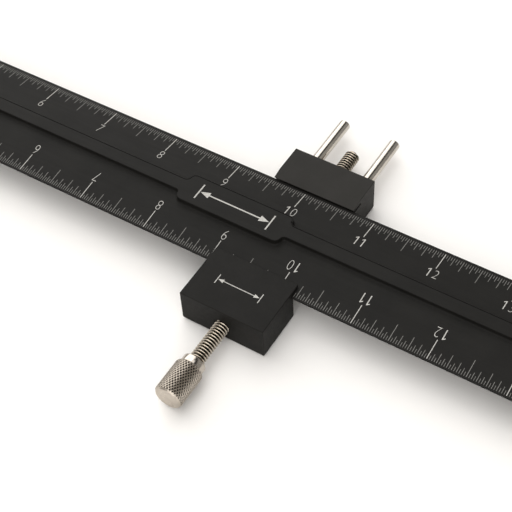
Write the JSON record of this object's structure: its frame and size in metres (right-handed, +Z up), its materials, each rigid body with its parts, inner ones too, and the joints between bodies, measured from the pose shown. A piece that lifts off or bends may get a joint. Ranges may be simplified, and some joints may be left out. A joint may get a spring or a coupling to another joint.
{
  "type": "marking gauge",
  "caption": "Rule-type marking gauge: a ribbed black rule carries a two-block clamp head, drawn together by a knurled screw over guide pins.",
  "frame": {"origin": "centre of the bounding box in plan, at the level of the blocks' undersides (the bench)", "axes": "+X along the rule towards its high numbers, +Y along the clamp screw away from the knob, +Z up"},
  "size_m": [0.4736, 0.1248, 0.0152],
  "materials": {
    "rule_black": "black satin anodised",
    "block_black": "black satin anodised",
    "bright_steel": "ground and polished",
    "thread_steel": "rolled thread",
    "knurl_steel": "diamond knurled"
  },
  "bodies": {
    "beam": {"rule_beam": "rule_black"},
    "front_head": {"front_block": "block_black", "guide_pin_left": "bright_steel", "guide_pin_right": "bright_steel"},
    "rear_jaw": {"rear_block": "block_black"},
    "collar": {"thrust_collar": "bright_steel"},
    "screw": {"threaded_stud": "thread_steel", "knurled_knob": "knurl_steel"}
  },
  "joints": [
    {"name": "head_slide", "type": "slide", "parent": "beam", "child": "front_head", "axis": [1, 0, 0], "range_m": [-0.238, 0.198]},
    {"name": "jaw_travel", "type": "slide", "parent": "front_head", "child": "rear_jaw", "axis": [0, 1, 0], "range_m": [-0.0041, 0.0016]},
    {"name": "screw_advance", "type": "slide", "parent": "rear_jaw", "child": "collar", "axis": [0, 1, 0], "range_m": [-0.00635, 0.01323]},
    {"name": "screw_turn", "type": "hinge", "parent": "collar", "child": "screw", "pos_m": [0.0197, -0.0474, 0.0057], "axis": [0, 1, 0], "range_deg": [-2162, 4502]}
  ],
  "couplings": [
    {"joint": "screw_turn", "follows": "screw_advance", "rad_per_m": 5938.7}
  ]
}
